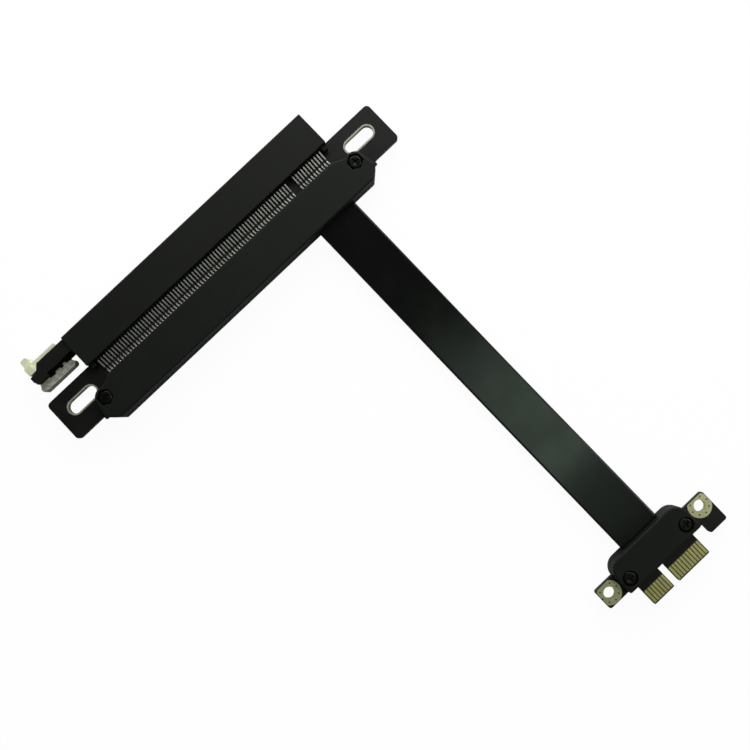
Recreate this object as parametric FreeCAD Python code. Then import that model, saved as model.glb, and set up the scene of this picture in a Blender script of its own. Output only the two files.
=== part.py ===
"""A riser cable for expansion cards: a full-length card slot on a board with two slotted
ears, a flat cable, and a short edge plug on a board with two screw ears.

Millimetres, +Z up. The part lies on a table: x runs along the slot, +y points out of the
slot's mouth, and the cable runs from the slot towards -y to the plug."""
import FreeCAD, Part
import math
import os

V = FreeCAD.Vector
X_AXIS, Y_AXIS, Z_AXIS = V(1, 0, 0), V(0, 1, 0), V(0, 0, 1)

# Card-edge contact layout, on the standard one millimetre grid
contact_pitch = 1.0
long_group = 71              # contacts per side on the latch side of the key
short_group = 11             # contacts per side on the other side of the key
key_gap = 3.0                # last long contact to first short contact, across the key
plug_short_group = 7         # fingers per side on the plug's short piece
plug_long_group = 11         # fingers per side on the plug's long piece

# Slot housing
housing_end = 3.0            # end contact to the housing's end face
housing_height = 10.6        # opening face to underside
housing_width = 7.5
housing_chamfer = 0.35
groove_width = 1.8           # for a 1.57 mm card
groove_depth = 8.2
groove_end_wall = 1.85
groove_lead_in = 0.55
key_wall = 1.6
card_tab_notch = 6.0         # depth of the notch at the latch end, for a card's hook
pocket_width = 0.66
pocket_top = 1.0             # rib above each contact pocket
pocket_outer_top = 1.5       # pocket's outer wall from the middle plane, at its top
pocket_outer_foot = 2.85     # and at the underside
pocket_core = 1.2            # half the core left between the two rows, under the groove
cheek_length = 1.4           # end cheeks that straddle the board
cheek_inset = 0.6
cheek_height = 1.5
cheek_half_width = 2.6

# Contacts: half of each pair, bent from flat strip
contact_width = 0.4
contact_thickness = 0.2
contact_tip = 1.7            # tip of the spring, below the opening face
contact_bump = 2.9           # where it presses on the card
contact_tip_z = 1.2
contact_bump_z = 0.95
contact_exit = 0.2           # last bend in the housing, above its underside
contact_exit_z = 1.75        # where it leaves the underside, from the middle plane
contact_shoulder = 0.7       # bend below the underside, where its straight leg starts
contact_shoulder_z = 2.25
contact_knee = 3.0           # bend above the board, where the leg ends
contact_knee_z = 1.45
contact_heel = 3.6           # heel of the solder foot, below the underside
contact_foot = 1.4

# Latch channel at the slot's end
channel_length = 13.65
channel_drop = 0.45          # its upper edge, below the opening face
channel_depth = 4.3
channel_half_width = 3.15
channel_wall = 0.9
channel_root = 0.6           # how far its walls run into the housing
shoulder_start = 9.6         # the walls' far upper corner is cut away from here
shoulder_end = 11.25
shoulder_depth = 2.15
shoulder_fall = 0.3
web_start = 9.4              # cross web that joins the two walls under the hub
web_thickness = 0.6
seat_start = 3.2             # tongue of the lower wall that carries the rail
seat_depth = 6.3

# Latch lever
lever_half_width = 1.95
lever_start = 2.8            # near end of the arm, from the housing's end
lever_proud = 0.9            # arm above the opening face
lever_arm_depth = 1.6        # underside of the arm
lever_end = 13.2
knob_start = 11.0
knob_height = 3.3
knob_radius = 0.75
pad_start = 11.2             # side pads in the cut-away corners
pad_end = 13.3
pad_top = 0.55
pad_bottom = 1.95
pad_proud = 0.2              # beyond the channel's outer faces
pivot_x = 11.6
pivot_y = 3.2
hub_radius = 1.0
trunnion_radius = 0.7
trunnion_clearance = 0.04
trunnion_length = 0.65
nose_depth = 2.6
nose_gap = 0.5               # nose to the housing's end face
nose_tongue = 1.4            # the tongue's reach into the card tab notch
nose_tongue_half = 0.62
nose_tongue_top = 0.9

# Grey rail under the channel
rail_start = 2.2
rail_end = 14.1
rail_valley = 5.5            # its stepped upper edge, below the opening face
rail_bottom = 7.4
rail_rise = 3.1              # height off the lower wall
rail_radius = 0.9
rail_steps = ((4.2, 5.1, 0.75), (6.2, 8.0, 0.5), (10.1, 13.6, 0.45))

# Slot board
board_thickness = 1.6
slot_board_length = 121.0
slot_board_start = 10.2      # its edge, below the opening face
slot_board_width = 13.05
board_corner = 1.2
board_seat_clearance = 0.05
ear_hole_spacing = 104.3
ear_hole_length = 9.4
ear_hole_width = 3.7
ear_hole_drop = 5.7          # board edge to the holes' middle line
plating = 0.1                # wall of a plated hole
copper = 0.06                # height of a plated ring, pad or finger
ear_rim = 0.45

# Covers, common to both heads
cover_wall = 1.1
cover_ceiling = 1.0
parting_gap = 0.3
cover_fit = 0.1              # round the board's edge
cable_fit = 0.05             # beside the cable, in its outlet
cavity_corner = 1.0
cover_edge = 0.5             # rounding of the outer edges

# Slot covers
slot_cover_thickness = 6.7   # over both covers
slot_cover_gap = 0.3         # solder feet to the covers' front edge
slot_cover_outer = 27.3      # outer wall, below the opening face
slot_cover_front_margin = 0.3
slot_cover_shoulder = 1.4    # fall of the front edge beside the contacts
screw_lobe_radius = 2.9
slot_screw_spacing = 93.4
slot_screw_inset = 3.05      # from the board's outer edge
cover_chamfer = 3.0
cover_lip = 0.7              # small lip that laps round the board's edge
cover_lip_length = 0.9
cover_flare = 0.8

# Screws, nuts and their seats
screw_radius = 1.0
screw_hole_clearance = 0.1
thread_clearance = 0.02
screw_head_radius = 1.9
screw_head_height = 1.25
screw_recess_depth = 0.7
screw_recess_reach = 1.05
screw_recess_width = 0.5
nut_flats = 4.0
nut_height = 1.5
nut_clearance = 0.1
seat_pocket_depth = 1.6
head_pocket_clearance = 0.2
plug_screw_end_wall = 0.9

# Cable
cable_x = 32.75              # from the slot's middle
plug_x = 32.5                # middle of the plug's tab, from the slot's middle
cable_width = 13.1
cable_thickness = 1.2
cable_free_length = 118.8    # cover to cover, measured along y
cable_corner = 0.55
cable_reach_in = 1.5         # jacket's end to the board's edge, inside each head
cable_first_run = 12.3       # straight stretch out of the slot covers
cable_last_run = 18.5        # straight stretch into the plug covers
cable_low_place = 0.55       # where it sags lowest, as a share of its free length
cable_low_z = 1.9            # corner of its sag, above the table
conductors_per_face = 9
conductor_pitch = 1.4
conductor_width = 0.6
conductor_thickness = 0.3
conductor_z = 0.3
conductor_straight = 0.4
solder_pad_width = 0.9
solder_pad_length = 1.5
solder_pad_inset = 0.35

# Plug board, measured from the middle of the tab's front edge
tab_length = 6.65            # front edge to the shoulders
tab_key_width = 1.9
tab_side = 0.65              # outer edge to the outermost finger
tab_key_side = 0.55          # notch edge to the nearest finger
tab_corner = 0.4
tab_bevel = 0.45
tab_bevel_depth = 0.3
finger_width = 0.7
finger_end = 4.6
finger_start = 0.5
plug_board_rear = 13.7
plug_board_rear_half = 12.0
plug_hole_spacing = 33.7
plug_hole_radius = 1.6
plug_hole_y = 10.75
plug_ring_radius = 3.35
ring_edge_clearance = 0.15
left_ear_end = 19.65
left_ear_front = 7.35
left_ear_rear = 13.6
left_ear_root = 12.75
right_ear_end = 20.0
right_ear_front = 3.4
right_ear_rear = 13.2
right_ear_root = 13.9
plug_corner = 0.7

# Plug covers
plug_cover_thickness = 6.6
plug_cover_half_length = 13.05
plug_cover_front = 7.2
plug_cover_rear = 16.45
plug_cover_corner = 3.9
plug_cover_front_corner = 0.6
plug_screw_spacing = 20.6
plug_screw_y = 10.3
plug_boss_wall = 0.4

# Sizes that follow
half_board = board_thickness / 2
half_groove = groove_width / 2
contact_span = (long_group - 1) * contact_pitch + key_gap + (short_group - 1) * contact_pitch
housing_length = contact_span + 2 * housing_end
half_housing = housing_length / 2
first_contact = -contact_span / 2
first_short = first_contact + (long_group - 1) * contact_pitch + key_gap
key_x = first_short - key_gap / 2
slot_board_end = slot_board_start + slot_board_width
heel_end = housing_height + contact_heel
foot_end = heel_end + contact_foot
slot_cover_front = foot_end + slot_cover_gap
slot_screw_x = slot_screw_spacing / 2
slot_screw_y = slot_board_end - slot_screw_inset
ear_hole_y = slot_board_start + ear_hole_drop
half_slot_cover = slot_cover_thickness / 2
half_plug_cover = plug_cover_thickness / 2
tab_short = tab_side + (plug_short_group - 1) * contact_pitch + tab_key_side
tab_long = tab_side + (plug_long_group - 1) * contact_pitch + tab_key_side
half_tab = (tab_short + tab_key_width + tab_long) / 2
first_finger = -half_tab + tab_side
first_long_finger = -half_tab + tab_short + tab_key_width + tab_key_side
reach = slot_cover_outer + cable_free_length + plug_cover_rear
face_y = (reach - knob_height) / 2
slot_place = V(0, face_y, housing_width / 2)
plug_place = V(plug_x, face_y - reach, half_plug_cover)
cable_shift = cable_x - plug_x


def box(x0, x1, y0, y1, z0, z1):
    """Block between two corners."""
    return Part.makeBox(x1 - x0, y1 - y0, z1 - z0, V(x0, y0, z0))


def cylinder(x, y, z0, z1, radius):
    """Upright cylinder."""
    return Part.makeCylinder(radius, z1 - z0, V(x, y, z0))


def corner_arc(before, corner, after, radius):
    """Start, middle and end of the tangent arc that rounds a corner."""
    to_before = (before - corner).normalize()
    to_after = (after - corner).normalize()
    half = to_before.getAngle(to_after) / 2
    bisector = (to_before + to_after).normalize()
    run = radius / math.tan(half)
    centre = corner + bisector * (radius / math.sin(half))
    return corner + to_before * run, centre - bisector * radius, corner + to_after * run


def rounded_face(corners, z):
    """Flat face through (x, y, radius) corners at height z."""
    points = [V(x, y, z) for x, y, _ in corners]
    pieces = []
    for i, (_, _, radius) in enumerate(corners):
        if radius:
            after = points[(i + 1) % len(points)]
            pieces.append(corner_arc(points[i - 1], points[i], after, radius))
        else:
            pieces.append((points[i], None, points[i]))
    edges = []
    for i, (start, middle, end) in enumerate(pieces):
        if middle:
            edges.append(Part.Arc(start, middle, end).toShape())
        following = pieces[(i + 1) % len(pieces)][0]
        if (following - end).Length > 1e-6:
            edges.append(Part.makeLine(end, following))
    return Part.Face(Part.Wire(edges))


def plate(corners, z0, z1):
    """Upright prism over a rounded outline."""
    return rounded_face(corners, z0).extrude(Z_AXIS * (z1 - z0))


def bar(points, x0, x1):
    """Prism along x over an outline of (y, z) points."""
    ring = [V(x0, y, z) for y, z in points]
    return Part.Face(Part.makePolygon(ring + ring[:1])).extrude(X_AXIS * (x1 - x0))


def strip_outline(points, thickness):
    """Outline of a bent strip whose middle line runs through (a, b) points."""
    left, right = [], []
    for i, (a, b) in enumerate(points):
        ends = [points[max(i - 1, 0)], points[min(i + 1, len(points) - 1)]]
        before = V(a - ends[0][0], b - ends[0][1], 0)
        after = V(ends[1][0] - a, ends[1][1] - b, 0)
        directions = [d.normalize() for d in (before, after) if d.Length > 1e-9]
        middle = sum(directions, V(0, 0, 0)).normalize()
        offset = thickness / 2 / math.cos(middle.getAngle(directions[0]))
        left.append((a - middle.y * offset, b + middle.x * offset))
        right.append((a + middle.y * offset, b - middle.x * offset))
    return left + right[::-1]


def hexagon(x, y, flats, z0, z1):
    """Hexagonal prism with its corners towards +y and -y."""
    radius = flats / math.sqrt(3)
    turns = [math.radians(30 + 60 * i) for i in range(6)]
    return plate([(x + radius * math.cos(t), y + radius * math.sin(t), 0) for t in turns], z0, z1)


def round_top(shape, z, radius):
    """Rounds the edges that lie flat at height z."""
    return shape.makeFillet(radius, [e for e in shape.Edges if e.BoundBox.ZMin > z - 1e-4])


def mirrored_z(shape):
    """The same shape on the other face of the board."""
    return shape.mirror(V(0, 0, 0), Z_AXIS)


def place_row(shape, xs):
    """Copies of a shape along x."""
    return [shape.translated(V(x, 0, 0)) for x in xs]


def contact_places():
    """Middles of all the slot's contacts along x."""
    long_ones = [first_contact + i * contact_pitch for i in range(long_group)]
    return long_ones + [first_short + i * contact_pitch for i in range(short_group)]


def finger_places():
    """Middles of all the plug's fingers along x."""
    short_ones = [first_finger + i * contact_pitch for i in range(plug_short_group)]
    return short_ones + [first_long_finger + i * contact_pitch for i in range(plug_long_group)]


def channel_outline(depth):
    """Side outline of a latch channel wall, seen along z, as (x, y, radius) corners."""
    edge = -half_housing
    far = edge - channel_length
    return [(edge + channel_root, -channel_drop, 0), (edge + channel_root, -depth, 0),
            (far, -depth, 0.3), (far, -shoulder_depth - shoulder_fall, 0.15),
            (edge - shoulder_end, -shoulder_depth, 0.2),
            (edge - shoulder_start, -channel_drop, 0.2)]


def latch_channel():
    """Two thin walls that the lever hinges between, a web across, and the rail's seat."""
    inner = channel_half_width - channel_wall
    edge = -half_housing
    upper = plate(channel_outline(channel_depth), inner, channel_half_width)
    lower = plate(channel_outline(channel_depth), -channel_half_width, -inner)
    seat = plate([(edge - seat_start, -channel_depth + 1, 0), (edge - seat_start, -seat_depth, 0.4),
                  (edge - channel_length, -seat_depth, 0.4),
                  (edge - channel_length, -channel_depth + 1, 0)], -channel_half_width, -inner)
    web = box(edge - channel_length + 0.3, edge - web_start, -channel_depth - web_thickness,
              -channel_depth, -channel_half_width, channel_half_width)
    socket_radius = trunnion_radius + trunnion_clearance
    reach_z = lever_half_width + trunnion_length + trunnion_clearance
    sockets = cylinder(edge - pivot_x, -pivot_y, -reach_z, reach_z, socket_radius)
    return upper.fuse([lower, seat, web]).removeSplitter().cut(sockets)


def contact_pockets():
    """Narrow pockets on both sides of the groove, open to it and to the underside."""
    outline = [(-pocket_top, 0.4), (-pocket_top, pocket_outer_top),
               (-housing_height - 0.1, pocket_outer_foot), (-housing_height - 0.1, pocket_core),
               (-groove_depth - 0.3, pocket_core), (-groove_depth + 0.2, 0.4)]
    pocket = bar(outline, -pocket_width / 2, pocket_width / 2)
    upper = place_row(pocket, contact_places())
    return upper + [mirrored_z(p) for p in upper]


def slot_housing():
    """Moulded housing: groove, key wall, contact pockets, end cheeks and latch channel."""
    h, w, c = housing_height, housing_width / 2, housing_chamfer
    body = bar([(0, -w + c), (0, w - c), (-c, w), (-h, w), (-h, -w), (-c, -w)],
               -half_housing, half_housing)
    cheeks = []
    for side in (-1, 1):
        outer = side * (half_housing - cheek_inset)
        ends = sorted((outer, outer - side * cheek_length))
        cheeks.append(box(*ends, -h - cheek_height, -h, -cheek_half_width, cheek_half_width))
    body = body.fuse(cheeks + [latch_channel()])
    groove_end = half_housing - groove_end_wall
    cuts = []
    for x0, x1 in ((-groove_end, key_x - key_wall / 2), (key_x + key_wall / 2, groove_end)):
        cuts.append(box(x0, x1, -groove_depth, 0.1, -half_groove, half_groove))
        mouth = half_groove + groove_lead_in
        cuts.append(bar([(0.01, -mouth), (0.01, mouth), (-groove_lead_in, half_groove),
                         (-groove_lead_in, -half_groove)], x0, x1))
    cuts.append(box(-half_housing - 0.1, -groove_end + 0.1, -card_tab_notch, 0.1,
                    -half_groove, half_groove))
    seat = half_board + board_seat_clearance
    cuts.append(box(-half_housing - 0.1, half_housing + 0.1, -h - cheek_height - 0.1,
                    -slot_board_start + board_seat_clearance, -seat, seat))
    return body.cut(Part.makeCompound(cuts)).cut(Part.makeCompound(contact_pockets()))


def slot_contacts():
    """One row of bent contacts: spring in the groove, sloping leg and solder foot."""
    foot_z = half_board + contact_thickness / 2
    line = [(-contact_tip, contact_tip_z), (-contact_bump, contact_bump_z),
            (-housing_height + contact_exit, contact_exit_z),
            (-housing_height - contact_shoulder, contact_shoulder_z),
            (-housing_height - contact_knee, contact_knee_z),
            (-heel_end, foot_z), (-foot_end, foot_z)]
    contact = bar(strip_outline(line, contact_thickness), -contact_width / 2, contact_width / 2)
    return place_row(contact, contact_places())


def latch_lever():
    """Lever moulding: arm, thumb knob, side pads, hub with trunnions, and nose."""
    edge = -half_housing
    end, start = edge - lever_end, edge - lever_start
    hub_x = edge - pivot_x
    body = plate([(start, lever_proud, 0.35), (edge - knob_start, lever_proud, 0.3),
                  (edge - knob_start, knob_height, knob_radius), (end, knob_height, knob_radius),
                  (end, -pivot_y, 0), (hub_x + hub_radius, -pivot_y, 0),
                  (hub_x + hub_radius, -lever_arm_depth, 0.3), (start, -lever_arm_depth, 0)],
                 -lever_half_width, lever_half_width)
    hub = cylinder(hub_x, -pivot_y, -lever_half_width, lever_half_width, hub_radius)
    corner = box(end - 0.1, hub_x - hub_radius, -pivot_y - 0.1, -pivot_y + hub_radius,
                 -lever_half_width - 0.1, lever_half_width + 0.1)
    pin_half = lever_half_width + trunnion_length
    trunnions = cylinder(hub_x, -pivot_y, -pin_half, pin_half, trunnion_radius)
    pad_half = channel_half_width + pad_proud
    pads = plate([(edge - pad_start, pad_top, 0.25), (edge - pad_start, -pad_bottom, 0.15),
                  (edge - pad_end, -pad_bottom, 0.15), (edge - pad_end, pad_top, 0.25)],
                 -pad_half, pad_half)
    nose = box(start - 0.1, edge - nose_gap, -nose_depth, -0.3, -lever_half_width, lever_half_width)
    nose = nose.fuse(box(edge - nose_gap - 0.1, edge - nose_gap + nose_tongue, -nose_depth,
                         -nose_tongue_top, -nose_tongue_half, nose_tongue_half))
    return body.cut(corner).fuse([hub, trunnions, pads, nose]).removeSplitter()


def latch_rail():
    """Rounded bar that closes the channel's underside, with low steps along its upper edge."""
    edge = -half_housing
    bottom = -(channel_half_width - channel_wall)
    rail = plate([(edge - rail_start, -rail_valley, rail_radius),
                  (edge - rail_start, -rail_bottom, rail_radius),
                  (edge - rail_end, -rail_bottom, rail_radius),
                  (edge - rail_end, -rail_valley, rail_radius)], bottom, bottom + rail_rise)
    steps = []
    for start, end, rise in rail_steps:
        top = -rail_valley + rise
        steps.append(plate([(edge - start, -rail_valley - 0.2, 0), (edge - start, top, 0.2),
                            (edge - end, top, 0.2), (edge - end, -rail_valley - 0.2, 0)],
                           bottom, bottom + rail_rise))
    return rail.fuse(steps).removeSplitter()


def ear_slots(grow, z0, z1):
    """The two slotted holes' volume, made larger all round by grow."""
    half_width = ear_hole_width / 2 + grow
    half_length = ear_hole_length / 2 + grow
    slots = []
    for side in (-1, 1):
        x = side * ear_hole_spacing / 2
        slots.append(plate([(x - half_length, -ear_hole_y - half_width, half_width * 0.9999),
                            (x + half_length, -ear_hole_y - half_width, half_width * 0.9999),
                            (x + half_length, -ear_hole_y + half_width, half_width * 0.9999),
                            (x - half_length, -ear_hole_y + half_width, half_width * 0.9999)],
                           z0, z1))
    return slots


def slot_board():
    """Circuit board with two slotted ears and two screw holes."""
    half = slot_board_length / 2
    board = plate([(-half, -slot_board_end, board_corner), (half, -slot_board_end, board_corner),
                   (half, -slot_board_start, board_corner),
                   (-half, -slot_board_start, board_corner)], -half_board, half_board)
    cuts = ear_slots(plating, -half_board - 1, half_board + 1)
    for side in (-1, 1):
        cuts.append(cylinder(side * slot_screw_x, -slot_screw_y, -half_board - 1, half_board + 1,
                             screw_radius + screw_hole_clearance))
    return board.cut(Part.makeCompound(cuts))


def slot_hole_rims():
    """Plating of the slotted holes: a sleeve through the board and a rim on each face."""
    z = half_board + copper
    sleeves = ear_slots(plating, -z, z)
    rims = ear_slots(ear_rim, half_board, z)
    holes = ear_slots(0, -z - 1, z + 1)
    return [sleeve.fuse([rim, mirrored_z(rim)]).removeSplitter().cut(hole)
            for sleeve, rim, hole in zip(sleeves, rims, holes)]


def slot_cover():
    """Upper cover of the slot head; the lower one is the same moulding turned over."""
    front, outer = -slot_cover_front, -slot_cover_outer
    front_x = contact_span / 2 + slot_cover_front_margin
    lobe_top = -slot_screw_y + screw_lobe_radius
    end_x = slot_screw_x + screw_lobe_radius + cover_flare
    edge = -slot_board_end - cover_fit
    shoulder = outer + cover_chamfer
    half = [(front_x, front, 0.6), (front_x + 2 * slot_cover_shoulder, lobe_top, 0.5),
            (slot_screw_x, lobe_top, 0), (slot_screw_x + screw_lobe_radius, -slot_screw_y, 0),
            (end_x - 0.3, edge, 0), (end_x, shoulder, 0.6), (end_x - cover_chamfer - 0.3, outer, 0.8)]
    outline = half + [(-x, y, r) for x, y, r in half[::-1]]
    z0, z1 = parting_gap / 2, half_slot_cover
    cover = plate(outline, z0, z1)
    extras = []
    for side in (-1, 1):
        extras.append(cylinder(side * slot_screw_x, -slot_screw_y, z0, z1, screw_lobe_radius))
        tip = side * (end_x + cover_lip)
        ends = sorted((side * (end_x - 1), tip))
        extras.append(box(*ends, edge - cover_lip_length, edge, z0, half_board))
    cover = round_top(cover.fuse(extras).removeSplitter(), z1, cover_edge)
    cavity_x = slot_screw_x - screw_lobe_radius - 0.3
    cavity_front, cavity_rear = front - cover_wall, outer + cover_wall
    cavity = plate([(-cavity_x, cavity_rear, cavity_corner), (cavity_x, cavity_rear, cavity_corner),
                    (cavity_x, cavity_front, cavity_corner),
                    (-cavity_x, cavity_front, cavity_corner)], 0, z1 - cover_ceiling)
    board = box(-slot_board_length, slot_board_length, edge, 0, 0, half_board)
    outlet = box(cable_x - cable_width / 2 - cable_fit, cable_x + cable_width / 2 + cable_fit,
                 outer - 1, cavity_rear + 1, 0, cable_thickness / 2)
    cuts = [cavity, board, outlet]
    for side in (-1, 1):
        x = side * slot_screw_x
        cuts.append(cylinder(x, -slot_screw_y, 0, z1 + 1, screw_radius + screw_hole_clearance))
        cuts.append(hexagon(x, -slot_screw_y, nut_flats + nut_clearance,
                            z1 - seat_pocket_depth, z1 + 1))
    return cover.cut(cuts)


def screw(x, y, seat_z, end_z):
    """Pan-head screw whose head sits on seat_z, with a cross recess."""
    head = cylinder(x, y, seat_z, seat_z + screw_head_height, screw_head_radius)
    rim = [e for e in head.Edges if abs(e.BoundBox.ZMin - seat_z - screw_head_height) < 1e-6
           and abs(e.BoundBox.ZLength) < 1e-6]
    head = head.makeFillet(screw_head_height * 0.4, rim)
    body = head.fuse(cylinder(x, y, end_z, seat_z, screw_radius))
    top = seat_z + screw_head_height
    reach_r, half = screw_recess_reach, screw_recess_width / 2
    cross = box(x - reach_r, x + reach_r, y - half, y + half, top - screw_recess_depth, top + 1)
    cross = cross.fuse(box(x - half, x + half, y - reach_r, y + reach_r,
                           top - screw_recess_depth, top + 1))
    return body.cut(cross).removeSplitter()


def slot_cover_screws():
    """Two screws, heads in the upper cover's hexagonal pockets."""
    seat = half_slot_cover - seat_pocket_depth
    end = -seat - nut_height
    return [screw(side * slot_screw_x, -slot_screw_y, seat, end) for side in (-1, 1)]


def slot_cover_nuts():
    """Two hexagon nuts in the lower cover's pockets."""
    seat = half_slot_cover - seat_pocket_depth
    nuts = []
    for side in (-1, 1):
        x = side * slot_screw_x
        nut = hexagon(x, -slot_screw_y, nut_flats, -seat - nut_height, -seat)
        nuts.append(nut.cut(cylinder(x, -slot_screw_y, -seat - nut_height - 1, -seat + 1,
                                     screw_radius + thread_clearance)))
    return nuts


def conductor_places(x):
    """Middles of the cable's conductors on one face, about the cable's middle x."""
    first = x - (conductors_per_face - 1) * conductor_pitch / 2
    return [first + i * conductor_pitch for i in range(conductors_per_face)]


def conductor_ends(x, edge_y, inward):
    """Bared conductor ends of one head: from the jacket's end up on to the board's pads.

    edge_y is the board's edge, and inward is +1 or -1 along y, from the edge on to the board."""
    top = half_board + copper + conductor_thickness / 2
    jacket = edge_y - inward * cable_reach_in
    pad_end = edge_y + inward * (solder_pad_inset + solder_pad_length)
    line = [(jacket, conductor_z), (jacket + inward * conductor_straight, conductor_z),
            (edge_y - inward * 0.1, top), (pad_end - inward * 0.2, top)]
    wire = bar(strip_outline(line, conductor_thickness), -conductor_width / 2, conductor_width / 2)
    upper = place_row(wire, conductor_places(x))
    return upper + [mirrored_z(w) for w in upper]


def solder_pads(x, edge_y, inward):
    """Pads on both faces of a board's edge, under the conductor ends."""
    ys = sorted((edge_y + inward * solder_pad_inset,
                 edge_y + inward * (solder_pad_inset + solder_pad_length)))
    pad = box(-solder_pad_width / 2, solder_pad_width / 2, *ys, half_board, half_board + copper)
    upper = place_row(pad, conductor_places(x))
    return upper + [mirrored_z(p) for p in upper]


def cable_route():
    """The cable's middle line in the part's frame, as (y, z) corners."""
    start = face_y - slot_board_end - cable_reach_in
    end = plug_place.y + plug_board_rear + cable_reach_in
    outlet = face_y - slot_cover_outer
    inlet = plug_place.y + plug_cover_rear
    first, last = outlet - cable_first_run, inlet + cable_last_run
    lowest = outlet - cable_low_place * cable_free_length
    return [(start, slot_place.z), (first, slot_place.z), (lowest, cable_low_z),
            (last, plug_place.z), (end, plug_place.z)]


def cable_radius(points, i):
    """Radius of the arc at corner i: as large as its two runs allow."""
    before, corner, after = (V(0, *points[k]) for k in (i - 1, i, i + 1))
    turn = math.pi - (before - corner).getAngle(after - corner)
    run = min((corner - before).Length, (after - corner).Length)
    return 0.45 * run / math.tan(turn / 2)


def ribbon_cable():
    """Flat jacketed cable along straight runs joined by tangent arcs."""
    points = cable_route()
    corners = [V(0, y, z) for y, z in points]
    edges, at = [], corners[0]
    for i in range(1, len(points) - 1):
        radius = cable_radius(points, i)
        start, middle, end = corner_arc(corners[i - 1], corners[i], corners[i + 1], radius)
        edges += [Part.makeLine(at, start), Part.Arc(start, middle, end).toShape()]
        at = end
        print("cable radius", round(radius, 1), "mm at corner", i)
    edges.append(Part.makeLine(at, corners[-1]))
    path = Part.Wire(edges)
    half_w, half_t = cable_width / 2, cable_thickness / 2
    section = rounded_face([(-half_w, -half_t, cable_corner), (half_w, -half_t, cable_corner),
                            (half_w, half_t, cable_corner), (-half_w, half_t, cable_corner)], 0)
    section.rotate(V(0, 0, 0), X_AXIS, 90)
    section.translate(V(cable_x, *points[0]))
    path.translate(V(cable_x, 0, 0))
    tube = path.makePipeShell([section.OuterWire], True, True, 2)
    print("cable length", round(path.Length, 2), "volume", round(tube.Volume, 2),
          "section times length", round(section.Area * path.Length, 2))
    return tube


def plug_board_outline(inset):
    """Corners of the plug's board, moved inwards by inset on its ears."""
    c = plug_corner
    return [(half_tab, tab_length, 0), (right_ear_root, tab_length, 0.4),
            (right_ear_root, right_ear_front, c), (right_ear_end - inset, right_ear_front, c),
            (right_ear_end - inset, right_ear_rear - inset, c),
            (plug_board_rear_half, right_ear_rear - inset, 0),
            (plug_board_rear_half, plug_board_rear, 0),
            (-plug_board_rear_half, plug_board_rear, 0),
            (-plug_board_rear_half, left_ear_rear - inset, 0),
            (-left_ear_end + inset, left_ear_rear - inset, c),
            (-left_ear_end + inset, left_ear_front + inset, c),
            (-left_ear_root, left_ear_front + inset, 0), (-left_ear_root, tab_length, 0),
            (-half_tab, tab_length, 0), (-half_tab, 0, tab_corner),
            (-half_tab + tab_short, 0, tab_corner), (-half_tab + tab_short, tab_length, 0),
            (-half_tab + tab_short + tab_key_width, tab_length, 0),
            (-half_tab + tab_short + tab_key_width, 0, tab_corner), (half_tab, 0, tab_corner)]


def plug_board():
    """Circuit board with the keyed edge tab, two drilled ears and two screw holes."""
    board = plate(plug_board_outline(0), -half_board, half_board)
    bevel = bar([(-0.1, half_board + 0.1), (tab_bevel, half_board + 0.1), (tab_bevel, half_board),
                 (0, half_board - tab_bevel_depth), (-0.1, half_board - tab_bevel_depth)],
                -half_tab - 1, half_tab + 1)
    cuts = [bevel, mirrored_z(bevel)]
    for side in (-1, 1):
        cuts.append(cylinder(side * plug_hole_spacing / 2, plug_hole_y, -half_board - 1,
                             half_board + 1, plug_hole_radius + plating))
        cuts.append(cylinder(side * plug_screw_spacing / 2, plug_screw_y, -half_board - 1,
                             half_board + 1, screw_radius + screw_hole_clearance))
    return board.cut(cuts)


def plug_fingers():
    """Gold contact fingers on the upper face of the tab."""
    finger = box(-finger_width / 2, finger_width / 2, finger_start, finger_end,
                 half_board, half_board + copper)
    return place_row(finger, finger_places())


def plug_hole_rings():
    """Plating of the plug's ear holes: sleeves, and rings cut back at the board's edge."""
    z = half_board + copper
    land = plate(plug_board_outline(ring_edge_clearance), half_board, z)
    rings = []
    for side in (-1, 1):
        x = side * plug_hole_spacing / 2
        ring = cylinder(x, plug_hole_y, half_board, z, plug_ring_radius).common(land)
        sleeve = cylinder(x, plug_hole_y, -z, z, plug_hole_radius + plating)
        whole = sleeve.fuse([ring, mirrored_z(ring)]).removeSplitter()
        rings.append(whole.cut(cylinder(x, plug_hole_y, -z - 1, z + 1, plug_hole_radius)))
    return rings


def plug_cover_shell():
    """Shell common to the plug's two covers, upper side."""
    half, front, rear = plug_cover_half_length, plug_cover_front, plug_cover_rear
    z0, z1 = parting_gap / 2, half_plug_cover
    cover = plate([(-half, front, plug_cover_front_corner), (half, front, plug_cover_front_corner),
                   (half, rear, plug_cover_corner), (-half, rear, plug_cover_corner)], z0, z1)
    cover = round_top(cover, z1, cover_edge)
    edge = plug_board_rear + cover_fit
    cavity_x = plug_screw_spacing / 2 - screw_head_radius - head_pocket_clearance - plug_boss_wall
    cavity = plate([(-cavity_x, front + cover_wall, cavity_corner),
                    (cavity_x, front + cover_wall, cavity_corner),
                    (cavity_x, rear - cover_wall, cavity_corner),
                    (-cavity_x, rear - cover_wall, cavity_corner)], 0, z1 - cover_ceiling)
    board = box(-left_ear_end, right_ear_end, 0, edge, 0, half_board)
    half_outlet = cable_width / 2 + cable_fit
    outlet = box(cable_shift - half_outlet, cable_shift + half_outlet,
                 rear - cover_wall - 1, rear + 1, 0, cable_thickness / 2)
    return cover.cut([cavity, board, outlet])


def plug_cover_upper():
    """Upper cover of the plug, with round pockets for the screw heads."""
    cuts = []
    for side in (-1, 1):
        x = side * plug_screw_spacing / 2
        cuts.append(cylinder(x, plug_screw_y, 0, half_plug_cover, screw_radius + screw_hole_clearance))
        cuts.append(cylinder(x, plug_screw_y, half_plug_cover - seat_pocket_depth,
                             half_plug_cover + 1, screw_head_radius + head_pocket_clearance))
    return plug_cover_shell().cut(cuts)


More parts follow.
